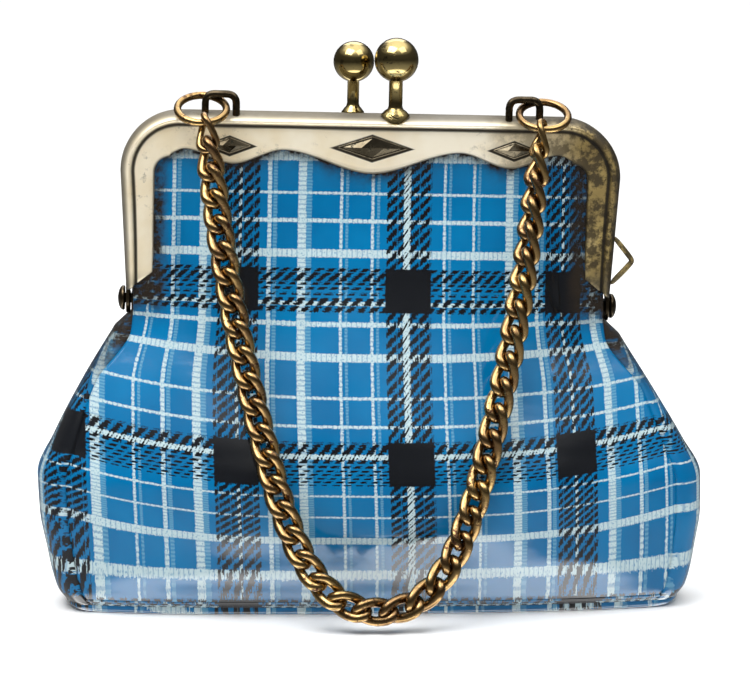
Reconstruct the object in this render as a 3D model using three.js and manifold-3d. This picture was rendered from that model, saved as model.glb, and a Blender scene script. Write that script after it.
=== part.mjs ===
// A small kiss-lock purse: vinyl bag in a pressed-metal frame, two ball knobs and a curb-chain handle.
// Millimetres. +Z up, the front faces -Y, +X to the viewer's right, origin on the floor under the bag's middle.
import * as THREE from "three";
import { mergeVertices } from "three/addons/utils/BufferGeometryUtils.js";
import Module from "manifold-3d";

const wasm = await Module();
wasm.setup();

// Driving dimensions
const GAP = 0.3; // clearance between touching pieces

const FRAME_TOP = 99.6; // height of the closed frame's top
const FRAME_HALF_WIDTH = 50.2; // outer half width near the corners
const FRAME_HALF_WIDTH_LOW = 48.8; // outer half width at the arm ends
const FRAME_CORNER = 12; // outer corner radius
const FRAME_DEPTH = 5; // one frame half, front to back
const SHEET = 0.7; // pressed sheet thickness
const ARM_INNER = 43.3; // inner edge of the arms, from the middle
const ARM_END_OUTER = 63.4; // height of the cut arm end at its outer edge
const ARM_END_INNER = 67.6; // height of the cut arm end at its inner edge
const LIP_WIDTH = 5; // width of the channel's inner lip
const BEAD = 1.1; // radius of the rolled bead on the outer edge
const ARCH_DEPTH = 7.4; // face depth at the arches beside the arms
const SIDE_LOBE = { x: 27.7, depth: 10.2 };
const PEAK = { x: 17.7, depth: 7.3 };
const CENTRE_LOBE_DEPTH = 11.7;
const ARCH_X = 38.3; // the face is narrowest here, beside the arms
const ARCH_FALL = 4.6; // from there down to where the arm's inner edge runs straight
const CENTRE_FLANK = { x: 9.4, depth: 9.9 };
const LOZENGES = [
  { x: 0, halfWidth: 7.6, halfHeight: 2.4, depth: 6.5 },
  { x: -28.4, halfWidth: 4.6, halfHeight: 1.7, depth: 6.5 },
  { x: 28.4, halfWidth: 4.6, halfHeight: 1.7, depth: 6.5 },
];
// Each lozenge stands proud in a recess that is a little larger all round.
const RECESS = { grow: 0.9, shrink: 0.3, depth: 0.35, proud: 0.25 };

const HINGE_Z = 61.5; // height of the rivets' axis
const FRAME_TILT = 1.3 * Math.PI / 180; // the closed frame leans to the right on the bag
const EAR_RADIUS = 3;
const EAR_SHEET = 0.8;
const RIVET_SHANK = 1;
const RIVET_HEAD = 2.5;
const RIVET_PROUD = 1.4;

const FRONT_KNOB = { x: 4.5, y: -3.4, height: 11, ball: 4.4, stem: 1.38, foot: 2.9 };
const REAR_KNOB = { x: -3.8, y: 2.65, height: 10.2, ball: 4.1, stem: 1.2, foot: 2.3 };
const FOOT_RIM = 0.4; // height of the knob's foot before it narrows
const FOOT_HEIGHT = 1.9;
const SHANK_DEPTH = 2.3; // how far the shank reaches below the frame's top
const BALL_STEPS = 8;
const SHANK_RADIUS = 0.9;
const SHANK_HOLE = 1.25;

// Thin strip bent to a point beside the right arm
const SIDE_LOOP = { low: 66.6, peak: 71.2, high: 75.6, reach: 3.1, thickness: 1, front: -4.2, back: -2.6 };

const LUG_X = 30.3; // middle of a staple lug
const LUG_Y = -3.8;
const LUG_TURN = 6 * Math.PI / 180; // the lug's inner leg stands forward of its outer leg
const LUG_HALF_WIDTH = 3.1;
const LUG_RISE = 3.6; // height of the arch wire's middle over the frame's top
const LUG_WIRE = 0.75;
const LUG_BEND = 2;
const LUG_FOOT = -1.6; // the legs end this far below the frame's top
const LUG_HOLE = 1.1;

const RING_X = 34;
const RING_RADIUS = 4.85;
const RING_WIRE = 0.75;
const RING_TILT = 30 * Math.PI / 180; // slope of the ring lying over the bead
const RING_Y = -5.75;
const RING_Z = FRAME_TOP + 0.65;

const LINK_COUNT = 41;
const LINK_WIRE = 0.82; // radius of the link's wire
const LINK_HALF_WIDTH = 1.97; // middle of the wire, from the link's middle
const LINK_SLACK = 0.42; // play between neighbouring links
const LINK_TWIST = 44 * Math.PI / 180; // turn of a link's end against its middle
// The chain turns about its own length towards its ends, where the links stand across the rings' wire.
const LEFT_TURN = { links: 9, angle: 52 * Math.PI / 180 };
const RIGHT_TURN = { links: 18, angle: 62 * Math.PI / 180 };
const HOOK_INSET = 0.6; // the first link's span starts this far past the ring's wire
const CHAIN_HALF_SPAN = 33.3; // first link's hook, from the middle
const CHAIN_DROP = 94; // from the hooks down to the lowest link's middle
const CHAIN_LEAN = 20.2; // how far the lowest link lies in front of the hooks
const CHAIN_SWAY = 2.2; // the chain hangs plumb under a frame that leans to the right

const VINYL = 1; // thickness of the bag's skin
const SEAM_Z = 1.6; // lowest edge of the panels
const PANEL_TOP = 94.6; // panel edge inside the frame's channel
const SPLIT_LOW = 51; // rear panel below the hinge ends here
const SPLIT_HIGH = 63; // and starts again here
const GUSSET_TOP = 55;
const TILT_FROM = 12; // above this height the bag starts to follow the frame's tilt
const BAG_LEAN = 0.9; // sideways shift of the bag's foot
const CHANNEL_Y = 4; // outer face of the panel inside the channel
const BASE_SHEET = 1.2;
const BOARD = 1.4;

// Bag outline by height: [z, front panel half width, silhouette half width, seam depth, middle depth]
const BAG = [
  [0, 56.5, 62, 10.5, 16],
  [4, 58.7, 64.4, 11.5, 16.6],
  [12, 60.2, 66.2, 12.8, 17.6],
  [20, 60.9, 67.4, 14.2, 20.8],
  [27, 61, 67.5, 14.5, 22.4],
  [34, 59, 64.2, 12.8, 20.6],
  [46, 54.6, 57.4, 9, 15.4],
  [56, 47.6, 51.2, 6.2, 11.2],
  [61.5, 43.2, 48, 4.8, 9.4],
  [66.5, 42.9, 46, CHANNEL_Y, 7.9],
  [72, 44.8, 46, CHANNEL_Y, 6.5],
  [79, 45.4, 46, CHANNEL_Y, 4.8],
  [85, 45.4, 46, CHANNEL_Y, CHANNEL_Y],
  [PANEL_TOP, 45.4, 46, CHANNEL_Y, CHANNEL_Y],
];

const COLOURS = {
  gold: { color: 0xd9c284, roughness: 0.25, metalness: 1 },
  knobGold: { color: 0xb08d45, roughness: 0.15, metalness: 1 },
  chainBrass: { color: 0xa8783a, roughness: 0.35, metalness: 1 },
  darkBrass: { color: 0x4a3c22, roughness: 0.45, metalness: 1 },
  vinyl: { color: 0x0077be, roughness: 0.15, metalness: 0 },
  board: { color: 0x9a8a70, roughness: 0.9, metalness: 0 },
};

const group = new THREE.Group();

// Everything on the metal frame stands a little crooked on the soft bag, turned about the hinge's middle.
const frameGroup = new THREE.Group();
const onFrame = new THREE.Group();
frameGroup.position.z = HINGE_Z;
frameGroup.rotation.y = FRAME_TILT;
onFrame.position.z = -HINGE_Z;
frameGroup.add(onFrame);
group.add(frameGroup);

function addMesh(name, geometry, colour, parent = onFrame) {
  const mesh = new THREE.Mesh(geometry, new THREE.MeshStandardMaterial(COLOURS[colour]));
  mesh.name = name;
  parent.add(mesh);
  return mesh;
}

// Solids: conversion, joining and cutting

function toSolid(geometry) {
  const plain = geometry.clone();
  plain.deleteAttribute("normal");
  plain.deleteAttribute("uv");
  const merged = mergeVertices(plain, 1e-4);
  return new wasm.Manifold(new wasm.Mesh({
    numProp: 3,
    vertProperties: new Float32Array(merged.attributes.position.array),
    triVerts: new Uint32Array(merged.index.array),
  }));
}

function toGeometry(solid) {
  const mesh = solid.getMesh();
  const geometry = new THREE.BufferGeometry();
  geometry.setAttribute("position", new THREE.BufferAttribute(mesh.vertProperties, 3));
  geometry.setIndex(new THREE.BufferAttribute(mesh.triVerts, 1));
  geometry.computeVertexNormals();
  return geometry;
}

function join(geometries) {
  return geometries.map(toSolid).reduce((sum, solid) => sum.add(solid));
}

// A shape drawn in X and Z, made solid from y = near to y = far.
function plate(shape, near, far, curveSegments = 8) {
  const geometry = new THREE.ExtrudeGeometry(shape, {
    depth: far - near,
    bevelEnabled: false,
    curveSegments,
  });
  geometry.rotateX(Math.PI / 2);
  geometry.translate(0, far, 0);
  return geometry;
}

function cylinderAlongX(radius, xLow, xHigh, y, z, sides = 16) {
  const geometry = new THREE.CylinderGeometry(radius, radius, xHigh - xLow, sides);
  geometry.rotateZ(Math.PI / 2);
  geometry.translate((xLow + xHigh) / 2, y, z);
  return geometry;
}

function roundWire(path, radius, sides, steps) {
  const section = new THREE.Shape();
  section.absarc(0, 0, radius, 0, Math.PI * 2);
  return new THREE.ExtrudeGeometry(section, {
    steps,
    extrudePath: path,
    bevelEnabled: false,
    curveSegments: sides,
  });
}

// Frame halves

// Outer outline of a half, inset by the given distance, as an open run of points from arm to arm.
function outerRun(inset, endZ) {
  const low = FRAME_HALF_WIDTH_LOW - inset;
  const high = FRAME_HALF_WIDTH - inset;
  const radius = FRAME_CORNER - inset;
  const centreX = FRAME_HALF_WIDTH - FRAME_CORNER;
  const centreZ = FRAME_TOP - FRAME_CORNER;
  const path = new THREE.Path();
  path.moveTo(-low, endZ);
  path.lineTo(-high, centreZ);
  path.absarc(-centreX, centreZ, radius, Math.PI, Math.PI / 2, true);
  path.lineTo(centreX, FRAME_TOP - inset);
  path.absarc(centreX, centreZ, radius, Math.PI / 2, 0, true);
  path.lineTo(low, endZ);
  return path.getPoints(6);
}

// The scalloped inner outline of the pressed face, from the right arm's end to the left arm's end.
function innerRun() {
  const scallop = [
    [ARM_INNER, FRAME_TOP - ARCH_DEPTH - ARCH_FALL],
    [ARCH_X, FRAME_TOP - ARCH_DEPTH],
    [SIDE_LOBE.x, FRAME_TOP - SIDE_LOBE.depth],
    [PEAK.x, FRAME_TOP - PEAK.depth],
    [CENTRE_FLANK.x, FRAME_TOP - CENTRE_FLANK.depth],
    [0, FRAME_TOP - CENTRE_LOBE_DEPTH],
  ];
  const mirrored = scallop.slice(0, -1).reverse().map(([x, z]) => [-x, z]);
  const knots = [...scallop, ...mirrored].map(([x, z]) => new THREE.Vector2(x, z));
  const wave = new THREE.SplineCurve(knots).getPoints(30);
  return [
    new THREE.Vector2(ARM_INNER, ARM_END_INNER),
    ...wave,
    new THREE.Vector2(-ARM_INNER, ARM_END_INNER),
  ];
}

function faceShape() {
  return new THREE.Shape([...outerRun(0, ARM_END_OUTER), ...innerRun()]);
}

function stripShape(width, endZ) {
  return new THREE.Shape([...outerRun(0, endZ), ...outerRun(width, endZ).reverse()]);
}

function lozenge(spec, grow) {
  const shape = new THREE.Shape();
  shape.moveTo(spec.x - spec.halfWidth - grow, FRAME_TOP - spec.depth);
  shape.lineTo(spec.x, FRAME_TOP - spec.depth - spec.halfHeight - grow / 2);
  shape.lineTo(spec.x + spec.halfWidth + grow, FRAME_TOP - spec.depth);
  shape.lineTo(spec.x, FRAME_TOP - spec.depth + spec.halfHeight + grow / 2);
  shape.closePath();
  return shape;
}

// An ear is the round end that the rivet passes through, with a neck up to the arm's flange and lip.
function ear(side, inward, facing) {
  const arc = new THREE.Path();
  arc.absarc(0, HINGE_Z, EAR_RADIUS, Math.PI, Math.PI * 2.12);
  const neckTop = ARM_END_OUTER + 4;
  const inner = -GAP / 2;
  const outline = [
    ...arc.getPoints(12),
    new THREE.Vector2(inner, HINGE_Z + 1.6),
    new THREE.Vector2(inner, neckTop),
    new THREE.Vector2(-EAR_RADIUS, neckTop),
  ].map((p) => new THREE.Vector2(-facing * p.x, p.y));
  const disc = new THREE.ExtrudeGeometry(new THREE.Shape(outline), {
    depth: EAR_SHEET,
    bevelEnabled: false,
  });
  // The outline's first axis becomes Y and its second Z.
  disc.rotateX(Math.PI / 2);
  disc.rotateZ(Math.PI / 2);
  const low = FRAME_HALF_WIDTH_LOW - inward;
  disc.translate(side > 0 ? low - EAR_SHEET : -low, 0, 0);
  return disc;
}

function frameHalf(facing) {
  const y = (low, high) => (facing < 0 ? [-high, -low] : [low, high]);
  const back = GAP / 2;
  const front = FRAME_DEPTH;
  let solid = join([
    plate(faceShape(), ...y(front - SHEET, front)),
    plate(stripShape(SHEET, ARM_END_OUTER), ...y(back, front)),
    plate(stripShape(LIP_WIDTH, ARM_END_OUTER + 3), ...y(back, back + SHEET)),
  ]);
  const beadPath = new THREE.CurvePath();
  const run = outerRun(BEAD + 0.2, ARM_END_OUTER + 1.5);
  for (let i = 1; i < run.length; i += 1) {
    beadPath.add(new THREE.LineCurve3(
      new THREE.Vector3(run[i - 1].x, facing * front, run[i - 1].y),
      new THREE.Vector3(run[i].x, facing * front, run[i].y),
    ));
  }
  solid = solid.add(toSolid(roundWire(beadPath, BEAD, 3, 30)));
  for (const spec of LOZENGES) {
    solid = solid.subtract(toSolid(plate(lozenge(spec, RECESS.grow), ...y(front - RECESS.depth, front + 1))));
    solid = solid.add(toSolid(plate(lozenge(spec, -RECESS.shrink), ...y(front - SHEET, front + RECESS.proud))));
  }
  return solid;
}

function pierced(solid, holes) {
  return holes.reduce((rest, hole) => rest.subtract(toSolid(hole)), solid);
}

function verticalHole(x, y, radius) {
  const hole = new THREE.CylinderGeometry(radius, radius, 4, 12);
  hole.rotateX(Math.PI / 2);
  hole.translate(x, y, FRAME_TOP);
  return hole;
}

function addFrames() {
  const rivetHole = (side) => cylinderAlongX(
    RIVET_SHANK + GAP, side * FRAME_HALF_WIDTH_LOW - 3, side * FRAME_HALF_WIDTH_LOW + 3, 0, HINGE_Z);
  let front = frameHalf(-1);
  for (const side of [-1, 1]) {
    front = front.add(toSolid(ear(side, 0, -1)));
  }
  const lugHoles = [-1, 1].flatMap((side) => [-1, 1].map((leg) => verticalHole(
    side * (LUG_X + leg * LUG_HALF_WIDTH * Math.cos(LUG_TURN)),
    LUG_Y + leg * LUG_HALF_WIDTH * Math.sin(LUG_TURN),
    LUG_HOLE,
  )));
  front = pierced(front, [
    rivetHole(-1), rivetHole(1), verticalHole(FRONT_KNOB.x, FRONT_KNOB.y, SHANK_HOLE), ...lugHoles,
  ]);
  addMesh("front_frame", toGeometry(front), "gold");

  let rear = frameHalf(1);
  // The rear arms' ends are cut round, so that they turn clear of the front ears.
  const near = FRAME_HALF_WIDTH_LOW - EAR_SHEET - GAP / 2;
  const far = FRAME_HALF_WIDTH + 3;
  rear = pierced(rear, [
    cylinderAlongX(EAR_RADIUS + GAP, -far, -near, 0, HINGE_Z, 24),
    cylinderAlongX(EAR_RADIUS + GAP, near, far, 0, HINGE_Z, 24),
  ]);
  for (const side of [-1, 1]) {
    rear = rear.add(toSolid(ear(side, EAR_SHEET + GAP, 1)));
  }
  rear = pierced(rear, [
    rivetHole(-1), rivetHole(1), verticalHole(REAR_KNOB.x, REAR_KNOB.y, SHANK_HOLE),
  ]);
  addMesh("rear_frame", toGeometry(rear), "gold");
}

// Turned about its own axis from the inner head to the domed outer head.
function addRivets() {
  const innerFace = -EAR_SHEET * 2 - GAP * 2;
  const headPoints = [];
  for (let i = 0; i <= 3; i += 1) {
    const angle = i / 3 * Math.PI / 2;
    headPoints.push([RIVET_HEAD * Math.cos(angle), GAP + 0.3 + (RIVET_PROUD - 0.3) * Math.sin(angle)]);
  }
  const profile = [
    [0, innerFace - 0.7],
    [RIVET_SHANK + 0.9, innerFace - 0.7],
    [RIVET_SHANK + 0.9, innerFace],
    [RIVET_SHANK, innerFace],
    [RIVET_SHANK, GAP],
    [RIVET_HEAD, GAP],
    ...headPoints.slice(0, -1),
    [0, GAP + RIVET_PROUD],
  ].map(([r, h]) => new THREE.Vector2(r, h));
  for (const [side, name] of [[-1, "hinge_rivet_left"], [1, "hinge_rivet_right"]]) {
    const geometry = new THREE.LatheGeometry(profile, 12);
    geometry.rotateZ(-side * Math.PI / 2);
    geometry.translate(side * FRAME_HALF_WIDTH_LOW, 0, HINGE_Z);
    addMesh(name, geometry, "darkBrass");
  }
}

function addKnob(name, spec) {
  const base = FRAME_TOP + GAP;
  const centre = FRAME_TOP + spec.height;
  const start = Math.asin(spec.stem / spec.ball);
  const points = [
    [0, FRAME_TOP - SHANK_DEPTH],
    [SHANK_RADIUS, FRAME_TOP - SHANK_DEPTH],
    [SHANK_RADIUS, base],
    [spec.foot, base],
    [spec.foot, base + FOOT_RIM],
    [spec.stem, base + FOOT_HEIGHT],
  ];
  for (let i = 0; i < BALL_STEPS; i += 1) {
    const angle = start + (Math.PI - start) * i / BALL_STEPS;
    points.push([spec.ball * Math.sin(angle), centre - spec.ball * Math.cos(angle)]);
  }
  points.push([0, centre + spec.ball]);
  const geometry = new THREE.LatheGeometry(points.map(([r, h]) => new THREE.Vector2(r, h)), 16);
  geometry.rotateX(Math.PI / 2);
  geometry.translate(spec.x, spec.y, 0);
  addMesh(name, geometry, "knobGold");
}

function addKnobs() {
  addKnob("front_clasp_knob", FRONT_KNOB);
  addKnob("rear_clasp_knob", REAR_KNOB);
}

function addLugs() {
  const at = (x, z) => new THREE.Vector3(x, 0, z);
  const [w, bend] = [LUG_HALF_WIDTH, LUG_BEND];
  const path = new THREE.CurvePath();
  path.add(new THREE.LineCurve3(at(-w, LUG_FOOT), at(-w, LUG_RISE - bend)));
  path.add(new THREE.QuadraticBezierCurve3(
    at(-w, LUG_RISE - bend), at(-w, LUG_RISE), at(-w + bend, LUG_RISE)));
  path.add(new THREE.LineCurve3(at(-w + bend, LUG_RISE), at(w - bend, LUG_RISE)));
  path.add(new THREE.QuadraticBezierCurve3(
    at(w - bend, LUG_RISE), at(w, LUG_RISE), at(w, LUG_RISE - bend)));
  path.add(new THREE.LineCurve3(at(w, LUG_RISE - bend), at(w, LUG_FOOT)));
  for (const [side, name] of [[-1, "lug_left"], [1, "lug_right"]]) {
    const geometry = roundWire(path, LUG_WIRE, 4, 16);
    geometry.rotateZ(side * LUG_TURN);
    geometry.translate(side * LUG_X, LUG_Y, FRAME_TOP);
    addMesh(name, geometry, "darkBrass");
  }
}

function addRings() {
  for (const [side, name] of [[-1, "ring_left"], [1, "ring_right"]]) {
    const geometry = new THREE.TorusGeometry(RING_RADIUS, RING_WIRE, 7, 22);
    geometry.rotateX(RING_TILT);
    geometry.translate(side * RING_X, RING_Y, RING_Z);
    addMesh(name, geometry, "chainBrass");
  }
}

// A thin bent strip standing off the right arm.
function addSideLoop() {
  const x = FRAME_HALF_WIDTH;
  const { low, peak, high, thickness } = SIDE_LOOP;
  const outline = new THREE.Shape();
  outline.moveTo(x - 0.35, high);
  outline.lineTo(x + SIDE_LOOP.reach, peak);
  outline.lineTo(x - 0.75, low);
  outline.lineTo(x - 0.75, low + thickness);
  outline.lineTo(x + SIDE_LOOP.reach - thickness, peak);
  outline.lineTo(x - 0.45, high - thickness);
  outline.closePath();
  addMesh("side_loop", plate(outline, SIDE_LOOP.front, SIDE_LOOP.back), "gold");
}

// Chain

// Route of the handle: a hanging U, as a curve from the left hook to the right hook.
function chainRoute() {
  const hook = new THREE.Vector3(
    0, RING_Y - RING_RADIUS * Math.cos(RING_TILT), RING_Z - RING_RADIUS * Math.sin(RING_TILT));
  hook.addScaledVector(new THREE.Vector3(0, CHAIN_LEAN, CHAIN_DROP).normalize(), HOOK_INSET);
  const spread = [
    [1, 0], [0.965, 0.1], [0.92, 0.22], [0.855, 0.36], [0.775, 0.5],
    [0.665, 0.66], [0.56, 0.79], [0.41, 0.91], [0.22, 0.98], [0, 1],
  ];
  const point = (x, drop) => new THREE.Vector3(
    x * CHAIN_HALF_SPAN + CHAIN_SWAY * drop, hook.y - CHAIN_LEAN * drop, hook.z - CHAIN_DROP * drop);
  const left = spread.map(([x, drop]) => point(-x, drop));
  const right = spread.slice(0, -1).reverse().map(([x, drop]) => point(x, drop));
  return new THREE.CatmullRomCurve3([...left, ...right], false, "centripetal");
}

// One curb link: a stadium of wire with a twist, centred on the origin, long axis X.
function linkGeometry(innerLength) {
  const w = LINK_HALF_WIDTH;
  const half = innerLength / 2 + LINK_WIRE - w;
  const sides = 6;
  const arcSteps = 5;
  const centres = [];
  for (const end of [1, -1]) {
    for (let i = 0; i <= arcSteps; i += 1) {
      const angle = (i / arcSteps - 0.5) * Math.PI;
      centres.push([end * (half + w * Math.cos(angle)), end * w * Math.sin(angle), end, angle]);
    }
  }
  const reach = half + w;
  const positions = [];
  for (const [x, y, end, angle] of centres) {
    const roll = -LINK_TWIST * x / reach;
    const out = new THREE.Vector3(end * Math.cos(angle), end * Math.sin(angle), 0);
    const up = new THREE.Vector3(0, 0, 1);
    for (let s = 0; s < sides; s += 1) {
      const turn = s / sides * Math.PI * 2;
      const p = new THREE.Vector3(x, y, 0)
        .addScaledVector(out, LINK_WIRE * Math.cos(turn))
        .addScaledVector(up, LINK_WIRE * Math.sin(turn));
      p.applyAxisAngle(new THREE.Vector3(1, 0, 0), roll);
      positions.push(p.x, p.y, p.z);
    }
  }
  const index = [];
  const count = centres.length;
  for (let c = 0; c < count; c += 1) {
    const next = (c + 1) % count;
    for (let s = 0; s < sides; s += 1) {
      const t = (s + 1) % sides;
      const [a, b, d, e] = [c * sides + s, next * sides + s, next * sides + t, c * sides + t];
      index.push(a, b, d, a, d, e);
    }
  }
  const geometry = new THREE.BufferGeometry();
  geometry.setAttribute("position", new THREE.Float32BufferAttribute(positions, 3));
  geometry.setIndex(index);
  geometry.computeVertexNormals();
  return geometry;
}

function addChain() {
  const route = chainRoute();
  route.arcLengthDivisions = 800;
  const length = route.getLength();
  const pitch = length / LINK_COUNT;
  const inner = pitch + LINK_SLACK;
  const planeNormal = new THREE.Vector3(0, -CHAIN_DROP, CHAIN_LEAN).normalize();
  for (let i = 0; i < LINK_COUNT; i += 1) {
    const middleAt = (i + 0.5) * pitch;
    const middle = route.getPointAt(middleAt / length);
    const ahead = route.getPointAt((middleAt + pitch / 2) / length);
    const behind = route.getPointAt((middleAt - pitch / 2) / length);
    const along = ahead.sub(behind).normalize();
    const across = new THREE.Vector3().crossVectors(planeNormal, along).normalize();
    const normal = new THREE.Vector3().crossVectors(along, across);
    const turn = LEFT_TURN.angle * Math.max(0, 1 - i / LEFT_TURN.links)
      - RIGHT_TURN.angle * Math.max(0, 1 - (LINK_COUNT - 1 - i) / RIGHT_TURN.links);
    across.applyAxisAngle(along, turn);
    normal.applyAxisAngle(along, turn);
    const link = addMesh(`chain_link_${String(i + 1).padStart(2, "0")}`, linkGeometry(inner), "chainBrass");
    link.position.copy(middle);
    link.setRotationFromMatrix(new THREE.Matrix4().makeBasis(along, across, normal));
  }
}

// Bag

// Smooth values of the bag's outline at a height.
function bagAt(z) {
  let k = 0;
  while (k < BAG.length - 2 && z > BAG[k + 1][0]) {
    k += 1;
  }
  const row = (i) => BAG[Math.min(BAG.length - 1, Math.max(0, i))];
  const [r0, r1, r2, r3] = [row(k - 1), row(k), row(k + 1), row(k + 2)];
  const span = r2[0] - r1[0];
  const t = (z - r1[0]) / span;
  const value = (c) => {
    const slope = (a, b) => (b[0] === a[0] ? 0 : (b[c] - a[c]) / (b[0] - a[0]));
    const limit = (sa, sb) => (sa * sb <= 0 ? 0 : 2 * sa * sb / (sa + sb));
    const s1 = limit(slope(r0, r1), slope(r1, r2)) * span;
    const s2 = limit(slope(r1, r2), slope(r2, r3)) * span;
    return (2 * t ** 3 - 3 * t ** 2 + 1) * r1[c] + (t ** 3 - 2 * t ** 2 + t) * s1
      + (3 * t ** 2 - 2 * t ** 3) * r2[c] + (t ** 3 - t ** 2) * s2;
  };
  return { width: value(1), side: value(2), seam: value(3), middle: value(4) };
}

// The bag follows its tilted frame above the hinge and stands level on its base.
function followFrame(point) {
  const rise = THREE.MathUtils.smoothstep(point.z, TILT_FROM, HINGE_Z);
  const angle = FRAME_TILT * rise;
  const up = point.z - HINGE_Z;
  const x = point.x * Math.cos(angle) + up * Math.sin(angle);
  const z = HINGE_Z - point.x * Math.sin(angle) + up * Math.cos(angle);
  const lean = BAG_LEAN * Math.min(1, Math.max(0, 1 - point.z / HINGE_Z));
  return new THREE.Vector3(x + lean, point.y, z);
}

// Outer face of the front panel: u from -1 to 1 across, facing -Y.
function frontPoint(u, z) {
  const bag = bagAt(z);
  const bulge = 1 - Math.abs(u) ** 3;
  return followFrame(new THREE.Vector3(
    u * bag.width, -(bag.seam + (bag.middle - bag.seam) * bulge), z));
}

// Outer face of a gusset: u from -1 at the front seam to 1 at the rear seam.
function gussetPoint(side, u, z) {
  const bag = bagAt(z);
  const bulge = (1 - Math.abs(u) ** 2.2) ** (1 / 2.2);
  return followFrame(new THREE.Vector3(
    side * (bag.width + (bag.side - bag.width) * bulge), u * bag.seam, z));
}

// A skin of even thickness behind a surface point(u, z); outward is the side it faces.
function skin(point, uRange, zRange, uSteps, zSteps, flip) {
  const positions = [];
  const small = 1e-3;
  for (const depth of [0, VINYL]) {
    for (let j = 0; j <= zSteps; j += 1) {
      for (let i = 0; i <= uSteps; i += 1) {
        const u = uRange[0] + (uRange[1] - uRange[0]) * i / uSteps;
        const z = zRange[0] + (zRange[1] - zRange[0]) * j / zSteps;
        const base = point(u, z);
        const du = point(Math.min(1, u + small), z).sub(point(Math.max(-1, u - small), z));
        const dz = point(u, z + small).sub(point(u, z - small));
        const normal = du.cross(dz).multiplyScalar(flip ? -1 : 1);
        normal.z = 0; // the skin's edges stay level
        base.addScaledVector(normal.normalize(), -depth);
        positions.push(base.x, base.y, base.z);
      }
    }
  }
  const row = uSteps + 1;
  const layer = row * (zSteps + 1);
  const index = [];
  const quad = (a, b, c, d) => (flip ? index.push(a, c, b, a, d, c) : index.push(a, b, c, a, c, d));
  for (let j = 0; j < zSteps; j += 1) {
    for (let i = 0; i < uSteps; i += 1) {
      const a = j * row + i;
      quad(a, a + 1, a + row + 1, a + row);
      quad(layer + a, layer + a + row, layer + a + row + 1, layer + a + 1);
    }
  }
  for (let i = 0; i < uSteps; i += 1) {
    const top = zSteps * row + i;
    quad(i + 1, i, layer + i, layer + i + 1);
    quad(top, top + 1, layer + top + 1, layer + top);
  }
  for (let j = 0; j < zSteps; j += 1) {
    const left = j * row;
    const right = left + uSteps;
    quad(left, left + row, layer + left + row, layer + left);
    quad(right + row, right, layer + right, layer + right + row);
  }
  const geometry = new THREE.BufferGeometry();
  geometry.setAttribute("position", new THREE.Float32BufferAttribute(positions, 3));
  geometry.setIndex(index);
  geometry.computeVertexNormals();
  return geometry;
}

function addPanels() {
  const rearPoint = (u, z) => frontPoint(u, z).multiply(new THREE.Vector3(1, -1, 1));
  const edge = 0.99; // the seams between panels stay open by a hair
  addMesh("front_panel", skin(frontPoint, [-edge, edge], [SEAM_Z, PANEL_TOP], 14, 16, false), "vinyl", group);
  addMesh("rear_panel_lower", skin(rearPoint, [-edge, edge], [SEAM_Z, SPLIT_LOW], 14, 8, true), "vinyl", group);
  addMesh("rear_panel_fold",
    skin(rearPoint, [-edge, edge], [SPLIT_LOW + GAP, SPLIT_HIGH - GAP], 12, 2, true), "vinyl", group);
  addMesh("rear_panel_upper",
    skin(rearPoint, [-edge, edge], [SPLIT_HIGH, PANEL_TOP], 10, 6, true), "vinyl", group);
  for (const [side, name] of [[-1, "gusset_left"], [1, "gusset_right"]]) {
    const point = (u, z) => gussetPoint(side, u, z);
    addMesh(name, skin(point, [-0.97, 0.97], [SEAM_Z, GUSSET_TOP], 8, 8, side < 0), "vinyl", group);
  }
}

function superEllipse(halfX, halfY, power, steps) {
  const points = [];
  for (let i = 0; i < steps; i += 1) {
    const angle = i / steps * Math.PI * 2;
    const c = Math.cos(angle);
    const s = Math.sin(angle);
    points.push(new THREE.Vector2(
      halfX * Math.sign(c) * Math.abs(c) ** (2 / power),
      halfY * Math.sign(s) * Math.abs(s) ** (2 / power)));
  }
  return new THREE.Shape(points);
}

function addBase() {
  const slab = (halfX, halfY, low, thickness) => {
    const geometry = new THREE.ExtrudeGeometry(superEllipse(halfX, halfY, 4, 36), {
      depth: thickness,
      bevelEnabled: false,
    });
    geometry.translate(BAG_LEAN, 0, low);
    return geometry;
  };
  addMesh("base_panel", slab(60.5, 15.3, 0, BASE_SHEET), "vinyl", group);
  addMesh("base_board", slab(54, 13, BASE_SHEET + GAP, BOARD), "board", group);
}

addFrames();
addRivets();
addKnobs();
addLugs();
addRings();
addSideLoop();
addPanels();
addBase();
addChain();

export default group;
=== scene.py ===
"""A small kiss-lock purse of glossy tartan vinyl, with a pressed gold frame, ball knobs and a curb chain."""

import math

import bmesh
import bpy
import numpy as np
from mathutils import Matrix, Vector


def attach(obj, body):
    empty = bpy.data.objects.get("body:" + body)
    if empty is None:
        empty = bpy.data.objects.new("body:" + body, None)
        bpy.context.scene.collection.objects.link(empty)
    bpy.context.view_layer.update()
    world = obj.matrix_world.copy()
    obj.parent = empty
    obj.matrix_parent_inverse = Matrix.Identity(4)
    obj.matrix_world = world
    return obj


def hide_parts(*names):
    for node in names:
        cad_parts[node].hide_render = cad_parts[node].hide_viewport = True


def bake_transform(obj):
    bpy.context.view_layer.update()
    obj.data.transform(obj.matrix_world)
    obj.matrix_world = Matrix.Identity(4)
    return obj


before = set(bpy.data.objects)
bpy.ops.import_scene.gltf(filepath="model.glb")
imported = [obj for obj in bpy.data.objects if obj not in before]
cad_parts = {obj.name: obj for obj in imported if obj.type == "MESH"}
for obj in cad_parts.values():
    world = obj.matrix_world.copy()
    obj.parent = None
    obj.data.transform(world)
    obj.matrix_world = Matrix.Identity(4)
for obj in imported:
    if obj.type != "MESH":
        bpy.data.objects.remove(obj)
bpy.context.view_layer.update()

MM = 0.001
SIDES = ((-1, "left"), (1, "right"))

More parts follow.
